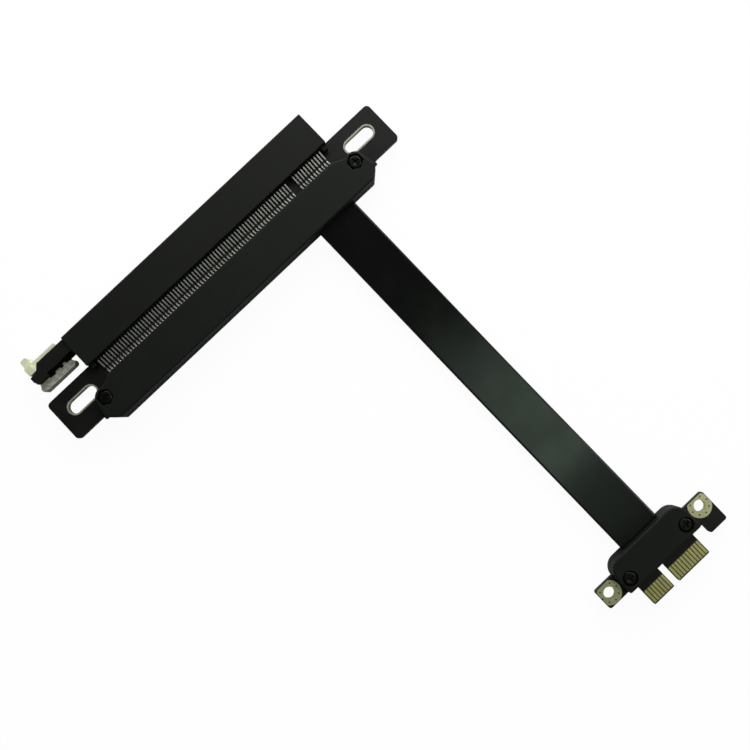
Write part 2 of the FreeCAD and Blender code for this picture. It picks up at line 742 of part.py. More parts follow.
def plug_cover_lower():
    """Lower cover of the plug, with blind holes that the screws bite into."""
    cover = mirrored_z(plug_cover_shell())
    holes = []
    for side in (-1, 1):
        holes.append(cylinder(side * plug_screw_spacing / 2, plug_screw_y,
                              plug_screw_end_wall - half_plug_cover, 0,
                              screw_radius + thread_clearance))
    return cover.cut(holes)


def plug_cover_screws():
    """Two screws, heads in the upper cover's round pockets."""
    seat = half_plug_cover - seat_pocket_depth
    end = plug_screw_end_wall - half_plug_cover + 0.1
    return [screw(side * plug_screw_spacing / 2, plug_screw_y, seat, end) for side in (-1, 1)]


def turned_over(shapes):
    """The mirror copy of a list of shapes, for the lower face."""
    return [mirrored_z(s) for s in shapes]


def export(name, shapes, place):
    """Moves shapes to their head's place and writes them as one node."""
    shapes = shapes if isinstance(shapes, list) else [shapes]
    solids = [solid.translated(place) for shape in shapes for solid in shape.Solids]
    for solid in solids:
        assert solid.isValid(), name
    Part.makeCompound(solids).exportStep("parts/" + name + ".step")
    print(name, len(solids), "solids", round(sum(s.Volume for s in solids), 1), "mm3")


os.makedirs("parts", exist_ok=True)
contacts = slot_contacts()
cover = slot_cover()
fingers = plug_fingers()
export("slot_housing", slot_housing(), slot_place)
export("slot_contacts_upper", contacts, slot_place)
export("slot_contacts_lower", turned_over(contacts), slot_place)
export("latch_lever", latch_lever(), slot_place)
export("latch_rail", latch_rail(), slot_place)
export("slot_board", slot_board(), slot_place)
export("slot_hole_rims", slot_hole_rims(), slot_place)
export("slot_cover_upper", cover, slot_place)
export("slot_cover_lower", mirrored_z(cover), slot_place)
export("slot_cover_screws", slot_cover_screws(), slot_place)
export("slot_cover_nuts", slot_cover_nuts(), slot_place)
export("slot_end_pads", solder_pads(cable_x, -slot_board_end, 1), slot_place)
export("slot_end_conductors", conductor_ends(cable_x, -slot_board_end, 1), slot_place)
export("ribbon_cable", ribbon_cable(), V(0, 0, 0))
export("plug_end_conductors", conductor_ends(cable_shift, plug_board_rear, -1), plug_place)
export("plug_end_pads", solder_pads(cable_shift, plug_board_rear, -1), plug_place)
export("plug_board", plug_board(), plug_place)
export("plug_fingers_upper", fingers, plug_place)
export("plug_fingers_lower", turned_over(fingers), plug_place)
export("plug_hole_rings", plug_hole_rings(), plug_place)
export("plug_cover_upper", plug_cover_upper(), plug_place)
export("plug_cover_lower", plug_cover_lower(), plug_place)
export("plug_cover_screws", plug_cover_screws(), plug_place)
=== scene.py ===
"""Looks of a riser cable for expansion cards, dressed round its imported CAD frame.

The slot head, the flat cable and the plug head lie on a pale table in soft studio light,
seen from above as in the photograph. Lengths are in millimetres, apart from those of the
table and the lamps, which are in metres.
"""
import logging
import math
from collections.abc import Callable, Iterable, Sequence
from dataclasses import dataclass
from enum import Enum

import bmesh
import bpy
from mathutils import Euler, Matrix, Vector


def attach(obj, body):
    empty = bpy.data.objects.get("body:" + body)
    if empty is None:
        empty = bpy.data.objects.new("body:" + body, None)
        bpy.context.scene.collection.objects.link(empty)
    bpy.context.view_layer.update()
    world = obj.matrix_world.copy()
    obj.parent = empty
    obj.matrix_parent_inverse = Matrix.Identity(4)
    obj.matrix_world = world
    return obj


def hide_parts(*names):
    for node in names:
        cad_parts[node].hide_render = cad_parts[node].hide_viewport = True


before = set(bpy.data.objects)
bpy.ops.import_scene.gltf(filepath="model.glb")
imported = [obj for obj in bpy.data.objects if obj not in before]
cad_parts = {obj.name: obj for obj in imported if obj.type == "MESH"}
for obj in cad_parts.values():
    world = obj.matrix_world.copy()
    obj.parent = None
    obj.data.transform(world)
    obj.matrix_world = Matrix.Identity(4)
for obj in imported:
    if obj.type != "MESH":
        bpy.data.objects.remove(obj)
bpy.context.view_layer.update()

MM = 0.001
WELD = 0.0005           # vertices nearer than this are one, in millimetres
FLAT_TURN = 0.5         # faces that turn by less than this are one, in degrees
SHARP_TURN = 40.0       # edges that turn by more than this are sharp, in degrees
WALL_RISE = 0.5         # the normal of a wall rises by less than this
WAVE_PERIOD = 0.314     # period of a wave texture of scale 1, in metres
log = logging.getLogger("riser_cable")


class Body(Enum):
    """The CAD bodies that pieces ride on."""

    CABLE = "cable_assembly"
    LATCH = "latch"


class Slot(Enum):
    """The record's material slots."""

    HOUSING = "housing_plastic"
    CONTACT = "contact_metal"
    LATCH = "latch_plastic"
    RAIL = "rail_plastic"
    BOARD = "circuit_board"
    HOLE = "hole_plating"
    COVER = "cover_plastic"
    SCREW = "screw_steel"
    JACKET = "cable_jacket"
    COPPER = "conductor_copper"


class Side(Enum):
    """The two faces of a board."""

    UPPER = 1
    LOWER = -1


def linear(colour: str) -> tuple[float, float, float, float]:
    """Turns an sRGB hex colour to linear light.

    Args:
        colour: The colour as "#rrggbb".

    Returns:
        Red, green, blue and an alpha of 1.
    """
    parts = [int(colour[i:i + 2], 16) / 255 for i in (1, 3, 5)]
    red, green, blue = (p / 12.92 if p <= 0.04045 else ((p + 0.055) / 1.055) ** 2.4
                        for p in parts)
    return red, green, blue, 1.0


def add_node(tree: bpy.types.NodeTree, kind: str, settings: dict | None = None,
             links: dict | None = None) -> bpy.types.Node:
    """Adds a shader node with its settings and links.

    Args:
        tree: The node tree that it goes in.
        kind: The node's type name.
        settings: Properties and input values by name, or inputs by number.
        links: Output sockets by the input that each is joined to.

    Returns:
        The new node.
    """
    node = tree.nodes.new(kind)
    for name, value in (settings or {}).items():
        if isinstance(name, str) and hasattr(node, name):
            setattr(node, name, value)
        else:
            node.inputs[name].default_value = value
    for name, socket in (links or {}).items():
        tree.links.new(socket, node.inputs[name])
    return node


def empty_tree(owner: bpy.types.Material | bpy.types.World) -> bpy.types.NodeTree:
    """Gives a material or a world an empty node tree."""
    owner.use_nodes = True
    owner.node_tree.nodes.clear()
    return owner.node_tree


def place_object(name: str, data: bpy.types.ID) -> bpy.types.Object:
    """Makes an object of its data and puts it in the scene."""
    made = bpy.data.objects.new(name, data)
    bpy.context.scene.collection.objects.link(made)
    return made


@dataclass(frozen=True)
class Finish:
    """A surface finish that belongs to a slot of the record, with two tones and a roughness."""

    name: str
    slot: Slot
    colour: str
    shade: str
    roughness: float

    def material(self) -> bpy.types.Material:
        """Makes the finish's material, or gives the one that is already made."""
        made = bpy.data.materials.get(self.name)
        if made:
            return made
        made = bpy.data.materials.new(self.name)
        tree = empty_tree(made)
        shader = add_node(tree, "ShaderNodeBsdfPrincipled")
        add_node(tree, "ShaderNodeOutputMaterial", links={"Surface": shader.outputs["BSDF"]})
        self.dress(tree, shader)
        made.diffuse_color = shader.inputs["Base Color"].default_value
        return made

    def dress(self, tree: bpy.types.NodeTree, shader: bpy.types.Node) -> None:
        """Sets the shader's sockets and joins its patterns. Each kind of finish has its own."""
        raise NotImplementedError

    def noise(self, tree: bpy.types.NodeTree, size: float, detail: float = 3.0,
              stretch: tuple[float, float, float] = (1.0, 1.0, 1.0)) -> bpy.types.NodeSocket:
        """Adds a noise pattern in the piece's own coordinates.

        Args:
            tree: The material's node tree.
            size: Size of the pattern's grains in millimetres.
            detail: How many finer layers it has.
            stretch: Scale along each axis; a small one draws the grains out.

        Returns:
            The pattern's value socket.
        """
        where = add_node(tree, "ShaderNodeTexCoord")
        turned = add_node(tree, "ShaderNodeMapping", {"Scale": stretch},
                          {"Vector": where.outputs["Object"]})
        grains = add_node(tree, "ShaderNodeTexNoise",
                          {"Scale": 1 / (size * MM), "Detail": detail, "Roughness": 0.55},
                          {"Vector": turned.outputs["Vector"]})
        return grains.outputs["Fac"]

    def tone(self, tree: bpy.types.NodeTree, shader: bpy.types.Node,
             pattern: bpy.types.NodeSocket) -> None:
        """Blends the finish's two tones by a pattern."""
        ramp = add_node(tree, "ShaderNodeValToRGB", links={"Fac": pattern})
        for stop, place, colour in zip(ramp.color_ramp.elements, (0.35, 0.65),
                                       (self.shade, self.colour)):
            stop.position = place
            stop.color = linear(colour)
        shader.inputs["Base Color"].default_value = linear(self.colour)
        tree.links.new(ramp.outputs["Color"], shader.inputs["Base Color"])

    def gloss(self, tree: bpy.types.NodeTree, shader: bpy.types.Node,
              pattern: bpy.types.NodeSocket, below: float, above: float) -> None:
        """Varies the roughness by a pattern, from so much below its value to so much above."""
        spread = add_node(tree, "ShaderNodeMapRange",
                          {"From Min": 0.3, "From Max": 0.7,
                           "To Min": self.roughness - below, "To Max": self.roughness + above},
                          {"Value": pattern})
        tree.links.new(spread.outputs["Result"], shader.inputs["Roughness"])

    def relief(self, tree: bpy.types.NodeTree, shader: bpy.types.Node,
               pattern: bpy.types.NodeSocket, height: float) -> None:
        """Gives the shader a relief of a pattern, with its height in millimetres."""
        bump = add_node(tree, "ShaderNodeBump", {"Strength": 1.0, "Distance": height * MM},
                        {"Height": pattern})
        tree.links.new(bump.outputs["Normal"], shader.inputs["Normal"])


@dataclass(frozen=True)
class MouldedPlastic(Finish):
    """Injection-moulded plastic from a spark-eroded tool: a fine matt grain, faint flow shades."""

    specular: float = 0.5
    grain: float = 0.3
    grain_height: float = 0.004
    flow: float = 6.0
    glow: float = 0.0
    glow_depth: float = 0.8

    def dress(self, tree: bpy.types.NodeTree, shader: bpy.types.Node) -> None:
        """Flow shades in the colour, and the tool's grain in gloss and relief."""
        grain = self.noise(tree, self.grain, detail=2.0)
        self.tone(tree, shader, self.noise(tree, self.flow, detail=2.0))
        self.gloss(tree, shader, grain, below=0.05, above=0.05)
        shader.inputs["Specular IOR Level"].default_value = self.specular
        if self.glow:
            # Light enters pale nylon a little way, which softens its shadows.
            shader.inputs["Subsurface Weight"].default_value = self.glow
            shader.inputs["Subsurface Scale"].default_value = self.glow_depth * MM
            shader.inputs["Subsurface Radius"].default_value = (1.0, 0.9, 0.7)
        self.relief(tree, shader, grain, self.grain_height)


@dataclass(frozen=True)
class SolderMask(Finish):
    """Black solder mask screened on glass-epoxy board: satin, with the cloth's weave under it."""

    specular: float = 0.3
    cloud: float = 5.0
    weave: float = 0.55
    weave_height: float = 0.003

    def dress(self, tree: bpy.types.NodeTree, shader: bpy.types.Node) -> None:
        """The glass cloth's threads as two crossing waves, and a cloudy tint of the mask."""
        where = add_node(tree, "ShaderNodeTexCoord")
        threads = [add_node(tree, "ShaderNodeTexWave",
                            {"bands_direction": direction, "Distortion": 0.6,
                             "Scale": WAVE_PERIOD / (self.weave * MM)},
                            {"Vector": where.outputs["Object"]}).outputs["Fac"]
                   for direction in ("X", "Y")]
        weave = add_node(tree, "ShaderNodeMath", {"operation": "MAXIMUM"},
                         {0: threads[0], 1: threads[1]})
        cloud = self.noise(tree, self.cloud)
        self.tone(tree, shader, cloud)
        self.gloss(tree, shader, cloud, below=0.04, above=0.04)
        shader.inputs["Specular IOR Level"].default_value = self.specular
        self.relief(tree, shader, weave.outputs["Value"], self.weave_height)


@dataclass(frozen=True)
class CutLaminate(Finish):
    """Bare glass-epoxy, at a routed edge or round the fingers: dull olive with pale fibres."""

    roughness: float = 0.6
    fibre: float = 0.9
    fibre_stretch: tuple[float, float, float] = (1.0, 1.0, 4.0)
    fibre_height: float = 0.01

    def dress(self, tree: bpy.types.NodeTree, shader: bpy.types.Node) -> None:
        """Thin layers of fibre, drawn out along the board."""
        layers = self.noise(tree, self.fibre, stretch=self.fibre_stretch)
        self.tone(tree, shader, layers)
        shader.inputs["Roughness"].default_value = self.roughness
        self.relief(tree, shader, layers, self.fibre_height)


@dataclass(frozen=True)
class PlatedMetal(Finish):
    """Plated or dipped metal: a smooth skin with faint draw lines or ripples."""

    cloud: float = 2.0
    ripple: float = 0.5
    ripple_height: float = 0.004
    stretch: tuple[float, float, float] = (1.0, 1.0, 1.0)
    metallic: float = 1.0

    def dress(self, tree: bpy.types.NodeTree, shader: bpy.types.Node) -> None:
        """A cloudy tone, and a ripple in gloss and relief."""
        ripple = self.noise(tree, self.ripple, detail=2.0, stretch=self.stretch)
        self.tone(tree, shader, self.noise(tree, self.cloud, detail=2.0))
        self.gloss(tree, shader, ripple, below=0.05, above=0.07)
        shader.inputs["Metallic"].default_value = self.metallic
        self.relief(tree, shader, ripple, self.ripple_height)


@dataclass(frozen=True)
class ExtrudedJacket(Finish):
    """Soft PVC, extruded: a smooth, glossy skin with faint lines along the cable."""

    cloud: float = 9.0
    line: float = 0.8
    line_stretch: tuple[float, float, float] = (1.0, 0.02, 1.0)
    line_height: float = 0.002

    def dress(self, tree: bpy.types.NodeTree, shader: bpy.types.Node) -> None:
        """Die lines drawn out along y, and a faint cloudiness from handling."""
        cloud = self.noise(tree, self.cloud)
        self.tone(tree, shader, cloud)
        self.gloss(tree, shader, cloud, below=0.03, above=0.03)
        self.relief(tree, shader,
                    self.noise(tree, self.line, detail=2.0, stretch=self.line_stretch),
                    self.line_height)


class Look(Enum):
    """The finishes of this cable, each set against the photograph."""

    # Glass-filled nylon housing, moulded black and matt.
    HOUSING = MouldedPlastic("moulded_black_nylon", Slot.HOUSING, "#121611", "#10130e", 0.55,
                             specular=0.25)
    # ABS covers, moulded black with a matt tool grain, a shade greener than the housing.
    COVER = MouldedPlastic("moulded_black_abs", Slot.COVER, "#111712", "#0f140f", 0.55,
                           specular=0.25)
    # Unpigmented nylon of the lever: creamy, smooth, lets a little light in.
    LATCH = MouldedPlastic("moulded_cream_nylon", Slot.LATCH, "#f8fade", "#f0f3d0", 0.38,
                           grain=0.5, grain_height=0.002, glow=0.25)
    # Rail: the lever's cream nylon, grey as painted shade; dull with small cloudy patches.
    RAIL = MouldedPlastic("nylon_painted_shade_grey", Slot.RAIL, "#dcdccd", "#a8a797", 0.6,
                          grain=0.4, grain_height=0.006, flow=0.8)
    # Black mask over the boards, near black with a brown cast.
    MASK = SolderMask("black_solder_mask", Slot.BOARD, "#151311", "#100f0e", 0.42)
    # Olive laminate without mask round the fingers.
    LAMINATE = CutLaminate("bare_glass_epoxy", Slot.BOARD, "#5c5222", "#4a411a")
    # The routed edges of the boards, darker than the bare laminate.
    ROUTED = CutLaminate("routed_glass_epoxy", Slot.BOARD, "#1f1c14", "#15130e")
    # Hard gold over nickel on the plug's fingers.
    GOLD = PlatedMetal("hard_gold_plate", Slot.CONTACT, "#e9e39d", "#dcd68e", 0.4,
                       stretch=(1.0, 0.1, 1.0))
    # Immersion gold, pale, on the rings of the plug's holes.
    PALE_GOLD = PlatedMetal("immersion_gold_plate", Slot.HOLE, "#e6e1b4", "#dad6a4", 0.4)
    # Tin over the bent bronze contacts: bright and a little rough.
    TIN = PlatedMetal("tinned_bronze_strip", Slot.CONTACT, "#dcdcd5", "#cccdc5", 0.42,
                      stretch=(1.0, 0.15, 1.0))
    # Tin over the slotted holes' copper: a greyish ring on the faces.
    RIM_TIN = PlatedMetal("tinned_hole_ring", Slot.HOLE, "#c4c3b0", "#aeada0", 0.45,
                          metallic=0.4)
    # A darker tone in the bore, which is painted shade.
    BORE_TIN_PAINTED_SHADE = PlatedMetal("tinned_hole_bore_painted_shade", Slot.HOLE, "#bcb99e", "#a5a28a", 0.4)
    # Reflowed solder on the contacts' feet: grey, with a wavy skin.
    SOLDER = PlatedMetal("reflowed_solder", Slot.CONTACT, "#babbb6", "#a8a9a4", 0.42,
                         ripple=0.35, ripple_height=0.005, metallic=0.75)
    # Black oxide on the small steel screws: dark, oily sheen.
    BLACK_OXIDE = PlatedMetal("black_oxide_steel", Slot.SCREW, "#363633", "#282825", 0.24,
                              metallic=0.85)
    # Black PVC jacket of the flat cable.
    JACKET = ExtrudedJacket("extruded_black_pvc", Slot.JACKET, "#090b09", "#080a08", 0.15)
    # Bared copper inside the covers.
    COPPER = PlatedMetal("drawn_copper_wire", Slot.COPPER, "#c98a62", "#b87850", 0.35)


def keep(name: str, look: Look) -> None:
    """Leaves a CAD node showing and gives it a finish.

    Args:
        name: The CAD node.
        look: Its finish.
    """
    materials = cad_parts[name].data.materials
    materials.clear()
    materials.append(look.value.material())


def merged_copy(node: str) -> bmesh.types.BMesh:
    """Copies a CAD node's mesh with its loose triangles joined into whole faces.

    Args:
        node: The CAD node.

    Returns:
        The copy, in metres, where the node is.
    """
    copy = bmesh.new()
    copy.from_mesh(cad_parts[node].data)
    bmesh.ops.remove_doubles(copy, verts=copy.verts, dist=WELD * MM)
    bmesh.ops.dissolve_limit(copy, angle_limit=math.radians(FLAT_TURN), verts=copy.verts,
                             edges=copy.edges, use_dissolve_boundaries=False)
    return copy


def mark_walls(mesh: bmesh.types.BMesh) -> None:
    """Gives a piece's second finish to its walls, and its first to all other faces."""
    for face in mesh.faces:
        face.material_index = int(abs(face.normal.z) < WALL_RISE)


def sharp_edges(mesh: bmesh.types.BMesh,
                chosen: Callable[[bmesh.types.BMEdge], bool]) -> list[bmesh.types.BMEdge]:
    """Finds a mesh's outward sharp edges that pass a test.

    Args:
        mesh: The mesh.
        chosen: The test of one edge.

    Returns:
        The edges.
    """
    return [e for e in mesh.edges if len(e.link_faces) == 2 and e.is_convex
            and e.calc_face_angle(0.0) > math.radians(SHARP_TURN) and chosen(e)]


def round_edges(mesh: bmesh.types.BMesh, edges: Iterable[bmesh.types.BMEdge], radius: float,
                held: bool = False) -> None:
    """Rounds edges of a mesh as a mould does.

    Args:
        mesh: The mesh.
        edges: The edges to round.
        radius: Radius in millimetres.
        held: Whether a rounding stops where it would meet another.
    """
    bmesh.ops.bevel(mesh, geom=list(edges), offset=radius * MM, offset_type="OFFSET",
                    affect="EDGES", segments=2, profile=0.5, clamp_overlap=held, material=-1)


def finish_piece(name: str, mesh: bmesh.types.BMesh, looks: Sequence[Look],
                 body: Body = Body.CABLE, replaced: Sequence[str] = (),
                 smooth: float = SHARP_TURN) -> bpy.types.Object:
    """Turns a bmesh to a piece that rides on a body.

    Args:
        name: The piece's name.
        mesh: Its shape, freed here.
        looks: Its finishes, in the order of its faces' material numbers.
        body: The body that it rides on.
        replaced: CAD nodes that it stands for.
        smooth: Edges that turn by less than this many degrees are shaded smooth.

    Returns:
        The piece.
    """
    data = bpy.data.meshes.new(name)
    mesh.to_mesh(data)
    mesh.free()
    for look in looks:
        data.materials.append(look.value.material())
    data.shade_smooth()
    data.set_sharp_from_angle(angle=math.radians(smooth))
    piece = place_object(name, data)
    piece.modifiers.new("even_faces", "WEIGHTED_NORMAL").keep_sharp = True
    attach(piece, body.value)
    if replaced:
        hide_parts(*replaced)
    return piece


@dataclass
class CardSlot:
    """The moulded card slot: its housing, its two rows of contacts and their solder joints."""

    mound_width: float = 0.74
    mound_length: float = 1.05
    mound_height: float = 0.45
    foot_centre: float = 64.3       # middle of the solder mounds along y
    board_middle: float = 3.75
    half_board: float = 0.8
    first_contact: float = -41.5
    long_group: int = 71
    short_group: int = 11
    key_gap: float = 3.0

    def contact_places(self) -> list[float]:
        """Middles of the contacts along x, 1 mm apart on both sides of the key."""
        long_ones = [self.first_contact + i for i in range(self.long_group)]
        start = long_ones[-1] + self.key_gap
        return long_ones + [start + i for i in range(self.short_group)]

    def mounds(self, side: Side) -> None:
        """Makes the solder mounds that hold one row's feet to its pads.

        Args:
            side: The board's face.
        """
        base = self.board_middle + side.value * self.half_board
        mesh = bmesh.new()
        for x in self.contact_places():
            made = bmesh.ops.create_uvsphere(mesh, u_segments=8, v_segments=6, radius=MM)
            bmesh.ops.scale(mesh, verts=made["verts"],
                            vec=(self.mound_width / 2, self.mound_length / 2, self.mound_height))
            bmesh.ops.translate(mesh, verts=made["verts"],
                                vec=Vector((x, self.foot_centre, base)) * MM)
        bmesh.ops.bisect_plane(mesh, geom=[*mesh.verts, *mesh.edges, *mesh.faces],
                               plane_co=Vector((0, 0, base)) * MM, plane_no=(0, 0, side.value),
                               clear_inner=True)
        finish_piece(f"solder_mounds_{side.name.lower()}", mesh, [Look.SOLDER], smooth=60)

    def build(self) -> None:
        """Dresses the housing and contacts, and adds the solder."""
        keep("slot_housing", Look.HOUSING)
        for side in Side:
            keep(f"slot_contacts_{side.name.lower()}", Look.TIN)
            self.mounds(side)


@dataclass
class CardLatch:
    """The cream lever in the housing's channel, and the rail under it, grey as painted shade."""

    lever_rounding: float = 0.22
    lever_shortest: float = 0.3     # edges shorter than this stay as they are
    rail_rounding: float = 0.3
    rail_top: float = 4.55
    level_slack: float = 0.003

    def on_rail_top(self, edge: bmesh.types.BMEdge) -> bool:
        """Whether an edge lies in the rail's upper face."""
        return all(abs(v.co.z - self.rail_top * MM) < self.level_slack * MM for v in edge.verts)

    def build(self) -> None:
        """Makes softened copies of the two mouldings."""
        lever = merged_copy("latch_lever")
        shortest = self.lever_shortest * MM
        round_edges(lever, sharp_edges(lever, lambda e: e.calc_length() > shortest),
                    self.lever_rounding, held=True)
        finish_piece("lever_moulding", lever, [Look.LATCH], Body.LATCH, ["latch_lever"])
        rail = merged_copy("latch_rail")
        round_edges(rail, sharp_edges(rail, self.on_rail_top), self.rail_rounding)
        finish_piece("rail_moulding", rail, [Look.RAIL], replaced=["latch_rail"])


@dataclass
class SlotHead:
    """The slot's board with its slotted ears, and the two covers screwed over it."""

    def board(self) -> None:
        """Makes the board and the plating of its slotted holes, with their walls apart."""
        for name, node, looks in (
                ("slot_board_masked", "slot_board", [Look.MASK, Look.ROUTED]),
                ("slot_hole_plating", "slot_hole_rims", [Look.RIM_TIN, Look.BORE_TIN_PAINTED_SHADE])):
            mesh = merged_copy(node)
            # Walls take the second finish: the board's darker edges, and the plating's bores
            # darkened as painted shade.
            mark_walls(mesh)
            finish_piece(name, mesh, looks, replaced=[node])

    def covers(self) -> None:
        """Dresses the covers and nuts, and gives the screws soft shading."""
        for side in Side:
            keep(f"slot_cover_{side.name.lower()}", Look.COVER)
        finish_piece("slot_screws_blackened", merged_copy("slot_cover_screws"),
                     [Look.BLACK_OXIDE], replaced=["slot_cover_screws"])
        keep("slot_cover_nuts", Look.BLACK_OXIDE)

    def build(self) -> None:
        """Makes the board and covers, and dresses what is inside."""
        self.board()
        self.covers()
        keep("slot_end_pads", Look.SOLDER)
        keep("slot_end_conductors", Look.COPPER)


@dataclass
class FlatCable:
    """The flat cable between the heads. Its control points are the route of the CAD tube."""

    x: float = 32.75
    route: tuple[tuple[float, float], ...] = (
        (54.875, 3.75), (40.025, 3.75), (-13.015, 1.9), (-47.975, 3.3), (-67.725, 3.3))
    width: float = 13.1
    thickness: float = 1.2
    corner: float = 0.55
    outlet: float = 52.325
    length: float = 122.6

    def line(self) -> list[Vector]:
        """Reads the points of the smooth NURBS line through the route."""
        curve = bpy.data.curves.new("cable_line", "CURVE")
        curve.dimensions = "3D"
        spline = curve.splines.new("NURBS")
        spline.points.add(len(self.route) - 1)
        for point, (y, z) in zip(spline.points, self.route):
            point.co = (self.x * MM, y * MM, z * MM, 1.0)
        spline.order_u = 3
        spline.use_endpoint_u = True
        spline.resolution_u = 16
        holder = place_object("cable_line", curve)
        bpy.context.view_layer.update()
        mesh = bpy.data.meshes.new_from_object(holder)
        points = [v.co.copy() for v in mesh.vertices]
        bpy.data.objects.remove(holder)
        bpy.data.meshes.remove(mesh)
        bpy.data.curves.remove(curve)
        return points

    def build(self) -> None:
        line = self.line()
        mesh = bmesh.new()
        section = bmesh.ops.create_grid(mesh, x_segments=1, y_segments=1, size=0.5)["verts"]
        bmesh.ops.scale(mesh, vec=(self.width * MM, self.thickness * MM, 1), verts=section)
        bmesh.ops.bevel(mesh, geom=section, offset=self.corner * MM, offset_type="OFFSET",
                        affect="VERTICES", segments=5, profile=0.5, clamp_overlap=False,
                        material=-1)
        ring = list(mesh.edges)
        for vert in mesh.verts:
            # The grid lies in x and y; the section stands across the cable's line.
            vert.co = Vector((vert.co.x, 0, vert.co.y)) + line[0]
        tilt = 0.0
        for i, point in enumerate(line[1:], 1):
            made = bmesh.ops.extrude_edge_only(mesh, edges=ring)["geom"]
            verts = [g for g in made if isinstance(g, bmesh.types.BMVert)]
            ring = [g for g in made if isinstance(g, bmesh.types.BMEdge)]
            bmesh.ops.translate(mesh, verts=verts, vec=point - line[i - 1])
            ahead = line[min(i + 1, len(line) - 1)] - line[i - 1]
            turned = math.atan2(ahead.z, -ahead.y)
            bmesh.ops.rotate(mesh, verts=verts, cent=point,
                             matrix=Matrix.Rotation(tilt - turned, 3, "X"))
            tilt = turned
        bmesh.ops.contextual_create(mesh, geom=ring)
        bmesh.ops.recalc_face_normals(mesh, faces=mesh.faces)
        cable = finish_piece("flat_cable", mesh, [Look.JACKET], replaced=["ribbon_cable"])


@dataclass
class PlugHead:
    """The edge plug: keyed board with gold fingers and ringed holes, and its two covers."""

    tab_front: float = -82.925
    bare_depth: float = 4.75
    tab_end: float = 42.65
    slope_rise: float = 0.9         # the normals of walls and chamfers rise by less than this
    board_top: float = 4.1
    board_bottom: float = 2.5
    ring_height: float = 0.06
    hole_places: tuple[float, ...] = (15.65, 49.35)
    hole_y: float = -72.175
    via_circle: float = 2.5
    via_radius: float = 0.22
    via_depth: float = 0.02
    via_count: int = 8
    ring_rear: tuple[float, ...] = (-69.475, -69.875)   # where the board cuts the rings back

    def board(self) -> None:
        """Makes the board: mask, bare laminate at the fingers, and routed edges."""
        board = merged_copy("plug_board")
        border = (self.tab_front + self.bare_depth) * MM
        bmesh.ops.bisect_plane(board, geom=[*board.verts, *board.edges, *board.faces],
                               plane_co=(0, border, 0), plane_no=(0, 1, 0))
        for face in board.faces:
            middle = face.calc_center_median()
            if middle.y < border and middle.x < self.tab_end * MM:
                face.material_index = 1
            elif abs(face.normal.z) < self.slope_rise:
                face.material_index = 2
        finish_piece("plug_board_masked", board, [Look.MASK, Look.LAMINATE, Look.ROUTED],
                     replaced=["plug_board"])
        for side in Side:
            keep(f"plug_fingers_{side.name.lower()}", Look.GOLD)
        finish_piece("plug_hole_plating", merged_copy("plug_hole_rings"), [Look.PALE_GOLD],
                     replaced=["plug_hole_rings"])

    def vias(self) -> None:
        """Makes the small plugged vias in the rings, on both faces."""
        mesh = bmesh.new()
        heights = (self.board_top + self.ring_height, self.board_bottom - self.ring_height)
        for x, rear in zip(self.hole_places, self.ring_rear):
            for turn in range(self.via_count):
                angle = math.tau * turn / self.via_count
                place = Vector((x + self.via_circle * math.cos(angle),
                                self.hole_y + self.via_circle * math.sin(angle), 0))
                if place.y + self.via_radius > rear:
                    continue
                for z in heights:
                    place.z = z
                    bmesh.ops.create_cone(mesh, cap_ends=True, segments=10,
                                          radius1=self.via_radius * MM,
                                          radius2=self.via_radius * MM,
                                          depth=self.via_depth * MM,
                                          matrix=Matrix.Translation(place * MM))
        finish_piece("plug_ring_vias", mesh, [Look.MASK])

    def covers(self) -> None:
        """Dresses the covers, and gives the screws soft shading."""
        for side in Side:
            keep(f"plug_cover_{side.name.lower()}", Look.COVER)
        finish_piece("plug_screws_blackened", merged_copy("plug_cover_screws"),
                     [Look.BLACK_OXIDE], replaced=["plug_cover_screws"])

    def build(self) -> None:
        """Makes the board, vias and covers, and dresses what is inside."""
        self.board()
        self.vias()
        self.covers()
        keep("plug_end_pads", Look.SOLDER)
        keep("plug_end_conductors", Look.COPPER)


@dataclass(frozen=True)
class Softbox:
    """One rectangular lamp, in metres."""

    name: str
    place: tuple[float, float, float]
    size: tuple[float, float]
    watts: float
    aim: tuple[float, float, float] | None = None
    tint: str = "#ffffff"

    def build(self) -> None:
        """Hangs the lamp, looking down, or turned to its aim if it has one."""
        light = bpy.data.lights.new(self.name, "AREA")
        light.shape = "RECTANGLE"
        light.size, light.size_y = self.size
        light.energy = self.watts
        light.color = linear(self.tint)[:3]
        lamp = place_object(self.name, light)
        lamp.location = self.place
        if self.aim:
            way = Vector(self.aim) - Vector(self.place)
            lamp.rotation_euler = way.to_track_quat("-Z", "Y").to_euler()
        lamp.visible_camera = False


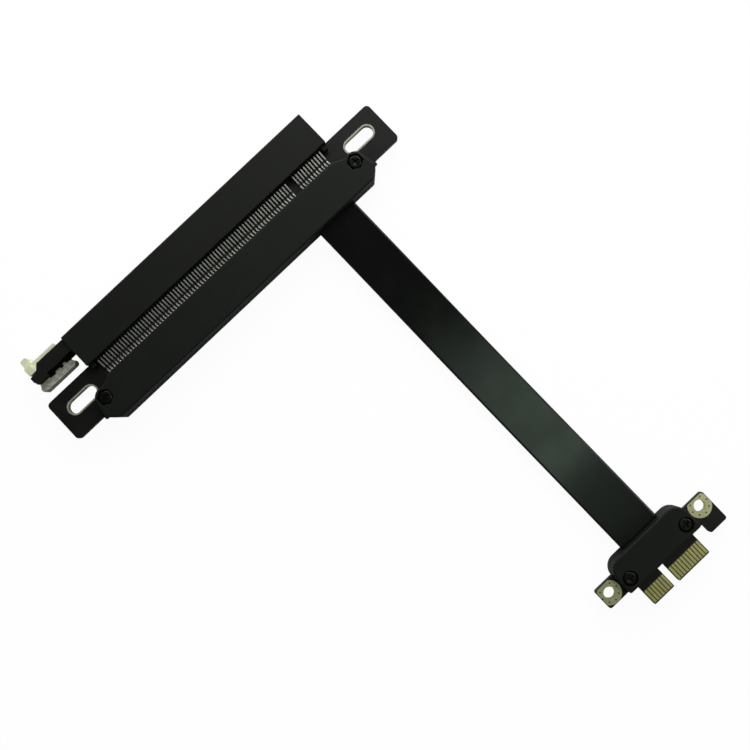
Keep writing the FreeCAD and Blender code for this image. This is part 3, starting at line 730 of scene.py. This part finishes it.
@dataclass
class Studio:
    """A pale table, a soft sky, four softboxes and the camera of the photograph."""

    camera_place: tuple[float, float, float] = (5.477, 1.372, 240.0)
    camera_turn: tuple[float, float, float] = (2.95321, 1.15230, -43.56049)
    lens: float = 41.57
    sensor: float = 36.0
    table_size: float = 6.0
    table_colour: str = "#f3f3f3"
    table_light: float = 1.03
    table_glow: float = 0.93        # the share of its own light that the camera sees
    zenith: str = "#4a4a4a"
    bright_wall: str = "#f4f4f4"
    dark_wall: str = "#747474"
    bright_way: tuple[float, float, float] = (0.5, 0.85, 0.0)
    # The first two lamps light walls, contacts and metal. The last two stand over the flat
    # cable, where its smooth jacket mirrors them as the broad sheen of the photograph.
    boxes: tuple[Softbox, ...] = (
        Softbox("key_softbox", (0.35, 0.38, 0.3), (0.6, 0.6), 2.9, (0.0, 0.0, 0.0)),
        Softbox("side_softbox", (0.42, -0.22, 0.62), (0.25, 0.25), 0.6, (0.03, -0.05, 0.0)),
        Softbox("strip_softbox", (0.137, -0.1045, 0.9), (0.3, 0.107), 0.145, tint="#e2ffe8"),
        Softbox("tail_softbox", (0.137, -0.229, 0.9), (0.3, 0.142), 0.036, tint="#e2ffe8"),
    )

    def camera(self) -> None:
        """Sets up the camera, which looks down from 240 mm."""
        data = bpy.data.cameras.new("photo_camera")
        data.lens, data.sensor_width = self.lens, self.sensor
        data.clip_start, data.clip_end = 0.01, 100.0
        camera = place_object("photo_camera", data)
        camera.location = Vector(self.camera_place) * MM
        camera.rotation_euler = Euler([math.radians(a) for a in self.camera_turn], "XYZ")
        bpy.context.scene.camera = camera

    def table(self) -> None:
        """Lays the white table. The camera sees it near white, with its shadows."""
        mesh = bmesh.new()
        bmesh.ops.create_grid(mesh, x_segments=1, y_segments=1, size=self.table_size / 2)
        data = bpy.data.meshes.new("table_top")
        mesh.to_mesh(data)
        mesh.free()
        table = place_object("table_top", data)
        material = bpy.data.materials.new("matt_white_card")
        tree = empty_tree(material)
        card = add_node(tree, "ShaderNodeBsdfDiffuse", {"Color": linear(self.table_colour)})
        glow = add_node(tree, "ShaderNodeEmission", {"Strength": self.table_light})
        ray = add_node(tree, "ShaderNodeLightPath")
        share = add_node(tree, "ShaderNodeMath", {"operation": "MULTIPLY", 1: self.table_glow},
                         {0: ray.outputs["Is Camera Ray"]})
        mixed = add_node(tree, "ShaderNodeMixShader",
                         links={0: share.outputs["Value"], 1: card.outputs["BSDF"],
                                2: glow.outputs["Emission"]})
        add_node(tree, "ShaderNodeOutputMaterial", links={"Surface": mixed.outputs["Shader"]})
        data.materials.append(material)

    def sky(self) -> None:
        """Fills in from all round: one side of the walls is bright, the ceiling is dark."""
        world = bpy.data.worlds.new("soft_studio")
        bpy.context.scene.world = world
        tree = empty_tree(world)
        where = add_node(tree, "ShaderNodeTexCoord").outputs["Generated"]
        height = add_node(tree, "ShaderNodeSeparateXYZ", links={0: where})
        way = add_node(tree, "ShaderNodeVectorMath",
                       {"operation": "DOT_PRODUCT", 1: self.bright_way}, {0: where})
        side = add_node(tree, "ShaderNodeMapRange", {"From Min": -0.4, "From Max": 0.6},
                        {"Value": way.outputs["Value"]})
        rise = add_node(tree, "ShaderNodeMapRange", {"From Min": 0.15, "From Max": 0.75},
                        {"Value": height.outputs["Z"]})
        # A mix node set to colours has them at inputs 6 and 7, and its result at output 2.
        walls = add_node(tree, "ShaderNodeMix",
                         {"data_type": "RGBA", 6: linear(self.dark_wall),
                          7: linear(self.bright_wall)}, {0: side.outputs["Result"]})
        dome = add_node(tree, "ShaderNodeMix", {"data_type": "RGBA", 7: linear(self.zenith)},
                        {0: rise.outputs["Result"], 6: walls.outputs[2]})
        light = add_node(tree, "ShaderNodeBackground", {"Strength": 1.0},
                         {"Color": dome.outputs[2]})
        add_node(tree, "ShaderNodeOutputWorld", links={"Surface": light.outputs["Background"]})

    def build(self) -> None:
        """Sets the camera, table, sky, lamps and the view's colour."""
        self.camera()
        self.table()
        self.sky()
        for box in self.boxes:
            box.build()
        bpy.context.scene.view_settings.view_transform = "Standard"


def main() -> None:
    """Builds the studio and then the object, head by head."""
    logging.basicConfig(level=logging.INFO, format="%(message)s")
    for part in (Studio(), FlatCable(), CardSlot(), CardLatch(), SlotHead(), PlugHead()):
        part.build()
        log.info("built %s", type(part).__name__)


if __name__ == "__main__":
    main()
